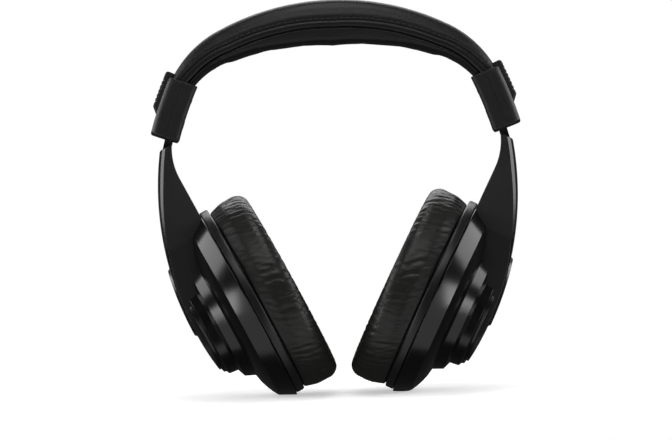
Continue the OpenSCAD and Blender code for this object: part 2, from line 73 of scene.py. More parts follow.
HOUSING_X, HOUSING_Z, HOUSING_LEAN, HOUSING_R = 77.1, -28.6, 20.6, 175.0
HOUSING_LEN, HOUSING_T, HOUSING_W = 28.0, 14.0, 37.0
TOE_X, TOE_IN = 77.3, 3.7

CUP_X, CUP_Z, CUP_TILT = 40.3, -119.8, 26.65
RIM_R, RIM_A = 49.4, 5.1
WELL_R, CUSHION_BASE, CUSHION_DEPTH = 27.0, -0.9, 17.3
ARM_R, ARM_PEAK, ARM_TOP, ARM_INNER = 145.7, 33.5, 83.7, 5.2

floor_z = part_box("left_arm_shell")[0][2] / MM - 0.05
print("the cups rest on a floor at z =", round(floor_z, 2), "mm")

# %% [markdown]
# ## Places
# Four small functions put a shape where it belongs: along the band, along the housing's curve,
# on the cup's axis, and from the left side to either side. The right side is a mirror image.

# %% Places along the band, the housing and the cup
lean_half = math.degrees(HOUSING_LEN / HOUSING_R) / 2
LEAN_LOW, LEAN_HIGH = HOUSING_LEAN - lean_half, HOUSING_LEAN + lean_half


def on_band(angle, depth, y):
    """Point of the band at an angle from its top, some depth below its outer face."""
    a = math.radians(abs(angle))
    r = CROWN_R - depth
    x, z = r * math.sin(a), BAND_DEPTH - CROWN_R + r * math.cos(a)
    if abs(angle) > SHOULDER_START:
        s = math.radians(SHOULDER_START)
        r = SHOULDER_R - depth
        x = (CROWN_R - SHOULDER_R) * math.sin(s) + r * math.sin(a)
        z = BAND_DEPTH - CROWN_R + (CROWN_R - SHOULDER_R) * math.cos(s) + r * math.cos(a)
    return (math.copysign(x, angle), y, z)


def on_housing(lean, out, y):
    """Point of the left housing at a lean along its curve, some way out of its middle."""
    a, tip = math.radians(lean), math.radians(HOUSING_LEAN)
    x = HOUSING_X - HOUSING_R * math.cos(tip) + (HOUSING_R + out) * math.cos(a)
    z = HOUSING_Z - HOUSING_R * math.sin(tip) + (HOUSING_R + out) * math.sin(a)
    return (x, y, z)


def on_cup(down, y, out):
    """Point of the left cup: some way down its plane, and some way out along its axis."""
    t = math.radians(CUP_TILT)
    return (CUP_X - math.sin(t) * down + math.cos(t) * out, y,
            CUP_Z - math.cos(t) * down - math.sin(t) * out)


def on_side(points, side):
    """Left-side points turned by the toe-in, and mirrored for the right side."""
    points = np.array(points, float).reshape(-1, 3)
    t = math.radians(TOE_IN)
    x, y = points[:, 0] - TOE_X, points[:, 1].copy()
    points[:, 0] = TOE_X + x * math.cos(t) + y * math.sin(t)
    points[:, 1] = y * math.cos(t) - x * math.sin(t)
    if side == "right":
        points[:, 0] *= -1
    return points


# %% [markdown]
# ## Mesh tools
# Moulded and sewn things have no truly sharp edges, so every outline is drawn with rounded
# corners and then swept or turned. A grid of points makes the faces.

# %% Rounded outlines and grids
def rounded(corners, steps=5, closed=False):
    """Outline through (x, y, radius) corners, each rounded to its own radius."""
    out, count = [], len(corners)
    for i, (x, y, radius) in enumerate(corners):
        here = np.array((x, y), float)
        if radius <= 0 or (not closed and i in (0, count - 1)):
            out.append(here)
            continue
        back = np.array(corners[i - 1][:2], float) - here
        ahead = np.array(corners[(i + 1) % count][:2], float) - here
        room = 0.48 * min(np.linalg.norm(back), np.linalg.norm(ahead))
        back, ahead = back / np.linalg.norm(back), ahead / np.linalg.norm(ahead)
        if np.linalg.norm(back + ahead) < 0.02:
            out += [here + ahead * room * (k / steps - 0.5) for k in range(steps + 1)]
            continue
        half = math.acos(max(-1.0, min(1.0, float(back @ ahead)))) / 2
        reach = min(radius / math.tan(half), room)
        centre = here + (back + ahead) / np.linalg.norm(back + ahead) * reach / math.cos(half)
        first, last = here + back * reach - centre, here + ahead * reach - centre
        a0 = math.atan2(first[1], first[0])
        turn = (math.atan2(last[1], last[0]) - a0 + math.pi) % (2 * math.pi) - math.pi
        size = np.linalg.norm(first)
        out += [centre + size * np.array((math.cos(a0 + turn * k / steps),
                                          math.sin(a0 + turn * k / steps)))
                for k in range(steps + 1)]
    return np.array(out)


def spread(outline, count, closed=False):
    """The same outline with evenly spaced points, so that a skin over it has even cells."""
    line = np.vstack([outline, outline[:1]]) if closed else outline
    length = np.r_[0, np.cumsum(np.linalg.norm(np.diff(line, axis=0), axis=1))]
    at = np.linspace(0, length[-1], count, endpoint=not closed)
    return np.stack([np.interp(at, length, line[:, k]) for k in (0, 1)], axis=1)


def grid_faces(rows, columns, wrap_rows=False, wrap_columns=True, caps=False):
    """Faces over a grid of points stored row by row."""
    faces = []
    for i in range(rows if wrap_rows else rows - 1):
        for j in range(columns if wrap_columns else columns - 1):
            i2, j2 = (i + 1) % rows, (j + 1) % columns
            faces.append((i * columns + j, i * columns + j2, i2 * columns + j2, i2 * columns + j))
    if caps:
        faces.append(tuple(reversed(range(columns))))
        faces.append(tuple(range((rows - 1) * columns, rows * columns)))
    return faces


def joined(*parts):
    """Several (points, faces) as one."""
    points, faces, start = [], [], 0
    for part_points, part_faces in parts:
        part_points = np.array(part_points, float).reshape(-1, 3)
        points.append(part_points)
        faces += [tuple(i + start for i in face) for face in part_faces]
        start += len(part_points)
    return np.vstack(points), faces


# %% [markdown]
# A piece gets its mesh, its finish, the body that it rides on and the CAD nodes that it stands
# for in one call. What the two cups and the two housings share is made once, on the left, and
# a second function puts it on both sides.

# %% From points to a finished piece
MATERIALS = {}


def make_piece(name, points, faces, finish, body=None, stands_for=(), slot=None, sharp=38.0,
               faces_finish=None):
    """A mesh in the row frame, with its finish, its body and the CAD nodes that it stands for."""
    mesh = bpy.data.meshes.new(name)
    mesh.from_pydata((np.array(points, float).reshape(-1, 3) * MM).tolist(), [], faces)
    mesh.validate()
    mesh.update()
    work = bmesh.new()
    work.from_mesh(mesh)
    bmesh.ops.remove_doubles(work, verts=work.verts, dist=1e-7)
    bmesh.ops.recalc_face_normals(work, faces=work.faces)
    work.to_mesh(mesh)
    work.free()
    mesh.shade_smooth()
    mesh.set_sharp_from_angle(angle=math.radians(sharp))
    piece = bpy.data.objects.new(name, mesh)
    scene.collection.objects.link(piece)
    for one in (finish if isinstance(finish, (list, tuple)) else [finish]):
        mesh.materials.append(MATERIALS[one])
    if faces_finish is not None:
        for polygon in mesh.polygons:
            polygon.material_index = faces_finish(polygon)
    if body:
        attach(piece, body)
    if stands_for:
        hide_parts(*stands_for)
    return piece


def on_both_sides(name, shape, finish, body, stands_for, slot=None, sharp=38.0):
    """A left-side shape made into the left piece and the right one."""
    points, faces = shape
    return [make_piece(f"{side}_{name}", on_side(points, side), faces, finish, f"{side}_{body}",
                       [f"{side}_{node}" for node in stands_for], slot, sharp) for side in SIDES]


def swept(sections):
    """Closed sections, one after another, as (points, faces) with both ends closed."""
    sections = np.array(sections, float)
    rows, columns = sections.shape[:2]
    return sections.reshape(-1, 3), grid_faces(rows, columns, caps=True)


def turned(outline, segments, ring=False, lower=0.0):
    """An outline of (radius, out) points turned round the cup's axis, or round one a bit lower."""
    points = [on_cup(lower + r * math.cos(a), r * math.sin(a), out)
              for a in np.linspace(0, 2 * math.pi, segments, endpoint=False)
              for r, out in outline]
    return np.array(points), grid_faces(segments, len(outline), wrap_rows=True, wrap_columns=ring)


# %% [markdown]
# ## Finishes
# A black object is read by its gloss and its grain, not by its colour. Each finish starts from
# the real material and how its surface was made, and each pattern has its size in millimetres.
# Colours are written as sRGB hex values and turned to linear light by one function.

# %% Colour and node tools
def linear(hex_colour):
    """An sRGB hex colour as linear RGBA."""
    parts = [int(hex_colour[i:i + 2], 16) / 255 for i in (1, 3, 5)]
    return [p / 12.92 if p <= 0.04045 else ((p + 0.055) / 1.055) ** 2.4 for p in parts] + [1.0]


def add(tree, kind, values=None, links=None, **settings):
    """Adds one node with its settings, its fixed values and what feeds it."""
    made = tree.nodes.new(kind)
    for key, value in settings.items():
        setattr(made, key, value)
    for key, value in (values or {}).items():
        made.inputs[key].default_value = value
    for key, source in (links or {}).items():
        tree.links.new(source, made.inputs[key])
    return made


def finish(name, shade, light, roughness, spread_of_roughness=0.06, grain_mm=None, relief=0.0,
           grain="noise", patch_mm=14.0, stretch=(1, 1, 1), fine_mm=None, fine_relief=0.0, **shader):
    """A finish whose colour drifts between two shades and whose relief is a grain of a real size."""
    material = bpy.data.materials.new(name)
    material.use_nodes = True
    tree = material.node_tree
    tree.nodes.clear()
    place = add(tree, "ShaderNodeTexCoord").outputs["Object"]
    patches = add(tree, "ShaderNodeTexNoise", {"Scale": 1 / (patch_mm * MM), "Detail": 4.0},
                  {"Vector": place})
    colour = add(tree, "ShaderNodeMix", {"A": linear(shade), "B": linear(light)},
                 {"Factor": patches.outputs["Fac"]}, data_type="RGBA")
    rough = add(tree, "ShaderNodeMapRange",
                {"To Min": roughness - spread_of_roughness, "To Max": roughness + spread_of_roughness},
                {"Value": patches.outputs["Fac"]})
    surface = add(tree, "ShaderNodeBsdfPrincipled", shader,
                  {"Base Color": colour.outputs["Result"], "Roughness": rough.outputs["Result"]})
    normal = None
    for kind, size, height in ((grain, grain_mm, relief), ("noise", fine_mm, fine_relief)):
        if not size:
            continue
        stretched = add(tree, "ShaderNodeMapping", {"Scale": stretch}, {"Vector": place})
        if kind == "cells":
            pattern = add(tree, "ShaderNodeTexVoronoi", {"Scale": 1 / (size * MM)},
                          {"Vector": stretched.outputs["Vector"]}, feature="SMOOTH_F1")
            value = pattern.outputs["Distance"]
        elif kind == "weave":
            waves = [add(tree, "ShaderNodeTexWave",
                         {"Scale": 1 / (size * MM) / 20, "Distortion": 0.4, "Detail": 0.0},
                         {"Vector": stretched.outputs["Vector"]}, bands_direction=direction)
                     for direction in ("Y", "Z")]
            value = add(tree, "ShaderNodeMath", None,
                        {0: waves[0].outputs["Fac"], 1: waves[1].outputs["Fac"]},
                        operation="MAXIMUM").outputs["Value"]
        else:
            pattern = add(tree, "ShaderNodeTexNoise", {"Scale": 1 / (size * MM), "Detail": 3.0},
                          {"Vector": stretched.outputs["Vector"]})
            value = pattern.outputs["Fac"]
        links = {"Height": value}
        if normal:
            links["Normal"] = normal
        normal = add(tree, "ShaderNodeBump", {"Strength": 1.0, "Distance": height * MM},
                     links).outputs["Normal"]
    if normal:
        tree.links.new(normal, surface.inputs["Normal"])
    add(tree, "ShaderNodeOutputMaterial", None, {"Surface": surface.outputs["BSDF"]})
    MATERIALS[name] = material


# %% [markdown]
# ### Skins
# Leatherette is polyurethane foamed onto a knit and embossed with a fine grain. The band's skin
# is stretched and satin. The ear cushions' skin is thinner and gathers into fine folds.

# %% Leatherette, thread, foam and cloth
finish("embossed_leatherette", "#151515", "#1b1b1b", 0.46, grain="cells", grain_mm=1.1, relief=0.10,
       fine_mm=0.35, fine_relief=0.03, **{"Specular IOR Level": 0.42})
finish("thin_leatherette", "#1d1d1c", "#252523", 0.38, grain="cells", grain_mm=0.8, relief=0.03,
       fine_mm=0.3, fine_relief=0.02, patch_mm=9.0, **{"Specular IOR Level": 0.45})
finish("rolled_leatherette", "#141415", "#19191a", 0.40, grain="cells", grain_mm=0.9, relief=0.05,
       **{"Specular IOR Level": 0.45})
finish("twisted_polyester_thread", "#262628", "#2f2f31", 0.6, grain_mm=0.4, relief=0.06,
       stretch=(1, 0.4, 1), **{"Sheen Weight": 0.2})
finish("open_cell_foam", "#38383a", "#434345", 0.92, grain="cells", grain_mm=1.0, relief=0.35)
finish("knitted_scrim", "#0b0b0b", "#121212", 0.9, grain="weave", grain_mm=0.9, relief=0.25,
       **{"Sheen Weight": 0.15})
finish("pressed_felt", "#4a4a4c", "#5c5c5e", 0.95, grain_mm=0.8, relief=0.3)
print("skins:", sorted(MATERIALS))

# %% [markdown]
# ### Mouldings
# The cup is ABS from a polished tool, so its turned bands carry clear soft reflections. The arm
# is the same moulding with a spark-eroded texture, which scatters light and reads as flat
# charcoal. The housings are glass-filled nylon, duller and slightly warm, and the grip is rubber.

# %% Plastics and rubber
finish("polished_abs", "#0c0c0c", "#0f0f0f", 0.2, 0.02, grain_mm=9.0, relief=0.0015, IOR=1.53)
finish("spark_textured_abs", "#111112", "#141415", 0.48, 0.04, grain_mm=0.35, relief=0.03, IOR=1.53)
finish("satin_abs", "#141415", "#19191a", 0.36, 0.04, grain_mm=0.4, relief=0.01, IOR=1.53)
finish("turned_badge_abs", "#1b1b1d", "#202022", 0.26, 0.03, grain_mm=0.5, relief=0.01, IOR=1.53)
finish("glass_filled_nylon", "#111112", "#161617", 0.5, 0.05, grain_mm=0.45, relief=0.025, IOR=1.53)
finish("moulded_rubber", "#101011", "#161617", 0.62, 0.05, grain_mm=0.5, relief=0.03, IOR=1.5)
finish("flexible_pvc", "#121213", "#181819", 0.45, grain_mm=0.6, relief=0.02)
finish("red_wire_pvc", "#7a1414", "#8c1b1b", 0.4, grain_mm=1.5, relief=0.02)
finish("polyester_film", "#c9ba8e", "#d8cba4", 0.25, 0.03, grain_mm=2.0, relief=0.02)
finish("solder_masked_board", "#1d4d2c", "#245c35", 0.35, grain_mm=1.2, relief=0.02)

# %% [markdown]
# ### Metals
# Screws and rivets are blackened steel, the spring strip is blued and rolled, so its brushing
# runs one way, and the magnet's cup is zinc plated.

# %% Steels
finish("black_oxide_steel", "#2a2a2c", "#37373a", 0.38, grain_mm=0.5, relief=0.015, Metallic=1.0)
finish("rolled_spring_steel", "#84888d", "#9b9ea3", 0.3, grain_mm=0.25, relief=0.012,
       stretch=(0.05, 1, 0.05), Metallic=1.0)
finish("zinc_plate", "#a9acb0", "#bcbfc2", 0.32, grain_mm=1.4, relief=0.01, Metallic=1.0)
print(len(MATERIALS), "finishes")

# %% [markdown]
# ### Pieces that keep their CAD shape
# Screws, stems, drivers and glands are right as they are, so they only get the finish of their
# part. The other nodes are replaced further on, and their plain finish is never seen.

# %% Finishes of the CAD nodes
KEPT = {
    "detent_spring": "rolled_spring_steel", "housing_screws": "black_oxide_steel",
    "band_rivets": "black_oxide_steel", "stem": "glass_filled_nylon",
    "baffle_screws": "black_oxide_steel", "grille": "satin_abs", "cushion_plate": "satin_abs",
    "driver_frame": "satin_abs", "driver_magnet": "zinc_plate", "diaphragm": "polyester_film",
    "damping_pad": "pressed_felt", "cable_gland": "flexible_pvc",
    "gland_nut": "glass_filled_nylon", "terminal_board": "solder_masked_board",
}
for node_name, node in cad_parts.items():
    part = node_name.split("_", 1)[1] if node_name.startswith(SIDES) else node_name
    node.data.materials.clear()
    node.data.materials.append(MATERIALS[KEPT.get(part, "satin_abs")])
print(len(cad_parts), "nodes finished")

# %% [markdown]
# ## Padding by cloth simulation
# A stuffed skin bulges where nothing holds it. Cloth with a little air pressure and no gravity
# finds that shape: the sewn and glued edges are held, and no point moves further than a cap.

# %% Inflating a skin
def puffed(name, points, faces, held, cap, pressure=4.0, frames=20):
    """The points of a skin after air pressure has filled it, no further than cap millimetres."""
    points = np.array(points, float).reshape(-1, 3)
    mesh = bpy.data.meshes.new(name + "_sim")
    mesh.from_pydata((points * MM).tolist(), [], faces)
    skin = bpy.data.objects.new(name + "_sim", mesh)
    scene.collection.objects.link(skin)
    skin.vertex_groups.new(name="held").add([int(i) for i in np.flatnonzero(held)], 1.0, "REPLACE")
    cloth = skin.modifiers.new("cloth", "CLOTH")
    cloth.settings.quality = 5
    cloth.settings.mass = 0.15
    cloth.settings.use_pressure = True
    cloth.settings.uniform_pressure_force = pressure
    cloth.settings.vertex_group_mass = "held"
    cloth.settings.effector_weights.gravity = 0
    cloth.point_cache.frame_end = frames
    for step in range(1, frames + 1):
        scene.frame_set(step)
    seen = skin.evaluated_get(bpy.context.evaluated_depsgraph_get()).data
    after = np.array([v.co for v in seen.vertices]) / MM
    scene.frame_set(1)
    bpy.data.objects.remove(skin)
    move = after - points
    far = np.linalg.norm(move, axis=1, keepdims=True)
    print(name, "swelled by up to", round(float(far.max()), 2), "mm before the cap")
    return points + move * np.minimum(1, cap / np.maximum(far, 1e-9))


# %% [markdown]
# ## The headband
# From above, the band is a foam pad under a stretched skin, a rolled piping along each edge,
# and a deeper pad that rests on the head. The band bends when the cups are pulled apart, and
# each layer is made as two halves that meet at the crown.

# %% The layers' sections
EDGE_ANGLES = (0, 12.8, 26, 55, 64.8)


def cover_edge(angle):
    """Lower edge of the top skin: it climbs towards the outside of the band at the temples."""
    return float(np.interp(abs(angle), EDGE_ANGLES, (COVER_DEPTH, 9.8, 8.8, 5.5, 3.6)))


def core_edge(angle):
    """Lower edge of the side piping, which widens towards the housings."""
    return float(np.interp(abs(angle), EDGE_ANGLES, (13.8, 13.0, 12.0, 9.0, 7.4)))


def pad_edge(angle):
    """Underside of the pad: fullest at the crown, thinning quickly to the shoulder, then slowly."""
    return float(np.interp(abs(angle), (0, 12.8, 19, 27, 64.8), (20.8, 18.8, 17.2, 15.3, 9.66)))


def cover_section(angle):
    """Top skin: crowned above, nearly upright at the sides, with a groove for the stitches."""
    low, half = cover_edge(angle), BAND_W / 2
    line, full = low - 1.1, low / COVER_DEPTH
    side = [(half - 1.6, low, 0), (half - 0.05, low - 0.03, 0.3), (half, line + 0.4, 0.2),
            (half - 0.18, line, 0.2), (half, line - 0.4, 0.3)]
    crown = []
    for y in np.linspace(half - 0.12, -half + 0.12, 25):
        rise = max(0.0, abs(y) - 9.5) / (half - 9.5)
        crown.append((y, 0.85 * (y / 11) ** 2 * full + (line - 4.0 * full) * rise ** 2.8, 0))
    corners = side + crown + [(-y, depth, radius) for y, depth, radius in reversed(side)]
    return spread(rounded(corners[::-1], 3), 64)


def pad_section(angle):
    """Under pad: full and round, flat against the core."""
    top, low, half = core_edge(angle), pad_edge(angle), BAND_W / 2 - 0.9
    round_r = 0.62 * (low - top)
    corners = [(-half + 1.2, top, 0), (-half, top + 0.1, 0.6), (-half - 0.35, (top + low) / 2, 5),
               (-half + 0.8, low - 0.25, round_r), (0, low, 60), (half - 0.8, low - 0.25, round_r),
               (half + 0.35, (top + low) / 2, 5), (half, top + 0.1, 0.6), (half - 1.2, top, 0)]
    return spread(rounded(corners, 6), 48)


# %% [markdown]
# Each layer is a section swept along the band, a little way into both housings. A skin is
# inflated before it is split at the crown, so its two halves still meet there exactly.

# %% Sweeping a layer along the band, inflating it, and splitting it at the crown
LAST_ANGLE = MOUTH_ANGLE + 3.0
GLUED_EDGE, GLUED_END = 1.6, 3.0


def band_angles(step):
    """Angles from one end of the band to the other, about a step apart."""
    half = np.linspace(0, LAST_ANGLE, int(LAST_ANGLE / step) + 1)
    return np.r_[-half[:0:-1], half]


def bend_piece(piece):
    """The half of a layer, with its place baked into its mesh."""
    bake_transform(piece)


def layer_halves(name, section, step, material, slot, stands_for, swell=0.0, creases=None):
    """One layer of the band as a left and a right half."""
    angles = band_angles(step)
    rows = [[on_band(a, depth, y) for y, depth in section(a)] for a in angles]
    columns = len(rows[0])
    points, faces = swept(rows)
    if swell:
        flat = np.array([section(a) for a in angles])
        edge = np.array([[section(a)[0][1]] for a in angles])
        glued = ((np.abs(flat[:, :, 1] - edge) < GLUED_EDGE)
                 | (np.abs(angles)[:, None] > MOUTH_ANGLE - GLUED_END))
        points = puffed(name, points, faces, glued.ravel(), swell)
    grid = points.reshape(len(angles), columns, 3)
    if creases is not None:
        grid = creases(angles, grid)
    middle = len(angles) // 2
    for side in SIDES:
        part = grid[middle:] if side == "left" else grid[middle::-1]
        piece = make_piece(f"{name}_{side}", *swept(part), material, stands_for=stands_for, slot=slot)
        bend_piece(piece)
    print(name, len(points), "points")


# %% [markdown]
# The skins are not perfect. Where the band turns down over the temples, the inside of the curve
# has a little too much skin, and it lies in shallow folds across the pad.

# %% Shallow folds across the skins
def folds(angle_list, depth, seed, width=1.3):
    """A function that presses shallow folds across a layer, at the angles given."""
    random = np.random.default_rng(seed)

    def press(angles, grid):
        middle = grid.mean(axis=1, keepdims=True)
        away = grid - middle
        away /= np.linalg.norm(away, axis=2, keepdims=True)
        for angle in angle_list:
            tilt = random.uniform(-0.08, 0.08)
            size = depth * random.uniform(0.5, 1)
            off = (angles[:, None] - angle - tilt * grid[:, :, 1]) / width
            grid = grid - away * (size * np.exp(-off ** 2))[:, :, None]
        return grid
    return press


layer_halves("top_skin", cover_section, 1.0, "embossed_leatherette", "leatherette",
             ("band_cover", "band_foam"), swell=0.35,
             creases=folds([-58, -49, -37, -15, 12, 33, 46, 60], 0.10, 3))
layer_halves("head_pad", pad_section, 1.0, "embossed_leatherette", "leatherette",
             ("pad_cover", "pad_foam"), swell=0.7,
             creases=folds([-61, -56, -50, -45, -39, -30, -17, 8, 21, 34, 41, 47, 54, 60], 0.28, 5))

# %% [markdown]
# ### Piping, spring and core
# A piping is a cord with leatherette rolled over it, sewn into the seam, so it is a bead that
# stands a little proud. Under it lie the nylon core, the steel strip and one thin wire that takes
# the sound to the far cup.

# %% Piping, and the hard layers inside
def bead_section(y_mid):
    """The section of a piping whose middle lies at y_mid, as a function of the angle."""
    def section(angle):
        top, low = cover_edge(angle), core_edge(angle)
        out = math.copysign(1, y_mid)
        corners = [(y_mid - 1.5 * out, top + 0.03, 0.2), (y_mid + 1.05 * out, top + 0.03, 0.55),
                   (y_mid + 1.45 * out, top + 0.9, 0.8), (y_mid + 1.4 * out, low - 1.0, 1.0),
                   (y_mid + 1.0 * out, low - 0.08, 0.7), (y_mid - 1.5 * out, low - 0.05, 0.2)]
        return rounded(corners, 6, closed=True)
    return section


def bar_section(y0, y1, upper, lower):
    """The section of a flat layer between two depths, as a function of the angle."""
    def section(angle):
        return rounded([(y0, upper(angle), 0.15), (y1, upper(angle), 0.15),
                        (y1, lower(angle), 0.15), (y0, lower(angle), 0.15)], 2, closed=True)
    return section


for place, y_mid in (("front", -16.05), ("rear", 16.05)):
    layer_halves("piping_" + place, bead_section(y_mid), 1.5, "rolled_leatherette", "piping",
                 ("piping_" + place,))
layer_halves("nylon_core", bar_section(-14.4, 14.4, cover_edge, core_edge), 3.0,
             "glass_filled_nylon", "black_nylon", ("band_core",))
layer_halves("spring_strip", bar_section(-14, 14, lambda a: cover_edge(a) + 1.1,
                                         lambda a: cover_edge(a) + 1.9), 3.0,
             "rolled_spring_steel", "spring_steel", ("spring_band",))
layer_halves("wire_across", bar_section(14.3, 15.3, lambda a: cover_edge(a) + 1,
                                        lambda a: cover_edge(a) + 2), 3.0,
             "red_wire_pvc", "wire_sleeve", ("crossover_wire",))

# %% [markdown]
# ### Stitches
# A row of lockstitches holds the top skin just above each piping. Every stitch is its own short
# length of thread that dips into the skin at both ends.

# %% A row of stitches along each edge
STITCH_PITCH, STITCH_LONG, THREAD_R = 3.0, 2.1, 0.22
SEAM_R = 105.0


def one_stitch(angle, out):
    """A short bowed thread on the side of the band."""
    degree = math.degrees(STITCH_LONG / 2 / SEAM_R)
    rows = []
    for k in range(6):
        t = k / 5
        bow = math.sin(math.pi * t)
        r = THREAD_R * (0.55 + 0.45 * bow)
        at = angle + (2 * t - 1) * degree
        y = out * (BAND_W / 2 + 0.02 + 0.16 * bow)
        depth = cover_edge(at) - 1.1
        rows.append([on_band(at, depth + r * math.sin(q), y + r * math.cos(q))
                     for q in np.linspace(0, 2 * math.pi, 6, endpoint=False)])
    return swept(rows)


for side in SIDES:
    sign = 1 if side == "left" else -1
    step = math.degrees(STITCH_PITCH / 112)
    threads = [one_stitch(sign * a, out) for a in np.arange(step / 2, MOUTH_ANGLE - 1, step)
               for out in (-1, 1)]
    row = make_piece("stitches_" + side, *joined(*threads), "twisted_polyester_thread",
                     slot="leatherette")
    bend_piece(row)
    print(len(threads), "stitches on the", side)

# %% [markdown]
# ## Slider housings
# Each housing is two nylon shells that meet on a line down the middle of its thickness, with
# soft corners outside and tighter ones towards the head. The band goes into its mouth, and the
# stem comes out of a slot in its foot. A boolean cuts the mouth and the slot from a rounded
# solid, as a core and a slide would leave them in the mould.

# %% A rounded bar along the housing's curve
OUTER_CORNER, INNER_CORNER, PARTING_GROOVE = 6.4, 2.4, 0.13
MOUTH_FALL, FOOT_FALL = 0.36, 0.33
FOOT_R, MOUTH_R = 1.1, 0.5


def housing_ring(lean, inset):
    """One closed section of the housing, inset all round, with the parting line as a groove."""
    share = (lean - HOUSING_LEAN) / lean_half
    t, w, g = HOUSING_T / 2 - inset, HOUSING_W / 2 - inset, PARTING_GROOVE
    outer, inner = max(OUTER_CORNER - inset, 0.6), max(INNER_CORNER - inset, 0.6)
    corners = [(-t, -w, inner), (-g, -w, 0), (0, -w + g, 0), (g, -w, 0), (t, -w, outer),
               (t, w, outer), (g, w, 0), (0, w - g, 0), (-g, w, 0), (-t, w, inner)]
    # The mouth falls away a little outwards, and the foot hangs a little lower inwards
    return [on_housing(lean - MOUTH_FALL * max(0, share) * (0.5 + out / HOUSING_T)
                       - FOOT_FALL * max(0, -share) * (0.5 - out / HOUSING_T), out, y)
            for out, y in rounded(corners, 8, closed=True)]


def mouth_ring(lean):
    """Section of the hollow that takes the band's end."""
    corners = [(-5.4, -17.7, 1.2), (5.1, -17.7, 3.0), (5.1, 17.7, 3.0), (-5.4, 17.7, 1.2)]
    return [on_housing(lean, out, y) for out, y in rounded(corners, 6, closed=True)]


def housing_body():
    """The outside of the housing, rounded at its foot and softened at its mouth."""
    per_mm = math.degrees(1 / HOUSING_R)
    foot, mouth = LEAN_LOW + FOOT_R * per_mm, LEAN_HIGH - MOUTH_R * per_mm
    rows = [housing_ring(LEAN_LOW + FOOT_R * (1 - math.cos(q)) * per_mm,
                         FOOT_R * (1 - math.sin(q))) for q in np.linspace(0, math.pi / 2, 7)]
    rows += [housing_ring(lean, 0) for lean in np.linspace(foot, mouth, 14)[1:]]
    rows += [housing_ring(LEAN_HIGH - MOUTH_R * (1 - math.sin(q)) * per_mm,
                          MOUTH_R * (1 - math.cos(q))) for q in np.linspace(0, math.pi / 2, 5)[1:]]
    return swept(rows)


def cut(points_faces, *tools, keep=None):
    """(points, faces) after exact booleans: the tools are taken away, keep is intersected."""
    def solid(data):
        mesh = bpy.data.meshes.new("cut")
        mesh.from_pydata(np.array(data[0]).tolist(), [], data[1])
        mesh.update()
        made = bpy.data.objects.new("cut", mesh)
        scene.collection.objects.link(made)
        return made
    work = solid(points_faces)
    others = [(solid(tool), "DIFFERENCE") for tool in tools]
    if keep is not None:
        others.append((solid(keep), "INTERSECT"))
    for other, how in others:
        modifier = work.modifiers.new(how, "BOOLEAN")
        modifier.operation, modifier.solver, modifier.object = how, "EXACT", other
    bpy.context.view_layer.update()
    seen = work.evaluated_get(bpy.context.evaluated_depsgraph_get()).data
    result = (np.array([v.co for v in seen.vertices]), [tuple(p.vertices) for p in seen.polygons])
    for made in [work] + [other for other, how in others]:
        bpy.data.objects.remove(made)
    return result


# %% [markdown]
# The slot follows the stem, which leans less than the housing. Two thick curved plates then part
# the solid into the shell on the head's side and the shell on the outside.

# %% Cutting the mouth and the slot, and parting the shells
STEM_X, STEM_Z, STEM_LEAN = 80.1, -45.2, 15.0
SLOT_T, SLOT_W = 4.3, 18.4


def along_stem(out, y, up):
    """Point beside the left stem, out from its middle and up along it."""
    a = math.radians(STEM_LEAN)
    return (STEM_X + out * math.cos(a) - up * math.sin(a), y,
            STEM_Z + out * math.sin(a) + up * math.cos(a))


def block(place, low, high):
    """A box between two corners of a local frame."""
    corners = [place(*(low[k] if bit[k] == 0 else high[k] for k in range(3)))
               for bit in ((0, 0, 0), (1, 0, 0), (1, 1, 0), (0, 1, 0),
                           (0, 0, 1), (1, 0, 1), (1, 1, 1), (0, 1, 1))]
    return corners, [(3, 2, 1, 0), (4, 5, 6, 7), (0, 1, 5, 4), (1, 2, 6, 5), (2, 3, 7, 6), (3, 0, 4, 7)]


cavity = swept([mouth_ring(lean) for lean in np.linspace(LEAN_LOW + 0.9, LEAN_HIGH + 1.5, 12)])
slot_cut = block(along_stem, (-SLOT_T / 2, -SLOT_W / 2, -20), (SLOT_T / 2, SLOT_W / 2, 20))
shell_solid = cut(housing_body(), cavity, slot_cut)


def parting(out0, out1):
    """A thick curved plate that holds one half of the housing."""
    return swept([[on_housing(lean, out, y) for out, y in
                   ((out0, -30), (out1, -30), (out1, 30), (out0, 30))]
                  for lean in np.linspace(LEAN_LOW - 2, LEAN_HIGH + 2, 16)])


for half, limits in (("outer", (0.03, 20)), ("inner", (-20, -0.03))):
    shell = cut(shell_solid, keep=parting(*limits))
    on_both_sides("slider_shell_" + half, shell, "glass_filled_nylon", "side",
                  ["housing_" + half], "black_nylon", sharp=30)
    print("slider shell,", half, len(shell[0]), "points")

# %% [markdown]
# ## Ribbed grips
# A rubber block on the outer face gives the fingers a hold. It is one skin over the housing's
# curve: its height swells and sinks with the ribs, falls away in a chamfer at the foot, and
# closes in a flat cap over the housing's mouth, up to the band.

# %% The grip's skin
GRIP_H, GRIP_HALF, RIB_PITCH = 2.5, 13.0, 2.1
GRIP_FOOT, GRIP_TOP = 19.2, 25.6
RIB_DEPTH, CHAMFER_LEN, DOME_LEN = 0.62, 3.2, 1.6


def grip_height(along, length):
    """Height of the grip some millimetres above its foot."""
    chamfer = min(1.0, along / CHAMFER_LEN)
    to_top = (length - along) / DOME_LEN
    dome = math.sqrt(max(0.0, 1 - (1 - min(1.0, to_top)) ** 2))
    ribs = 0.5 * (1 + math.cos(2 * math.pi * (along - 4.2) / RIB_PITCH))
    ribbed = 1.0 if 3.4 < along < length - 2.6 else 0.0
    return chamfer * (0.55 + 0.45 * dome) * (GRIP_H - RIB_DEPTH * ribbed * (1 - ribs ** 0.6)) + 0.05


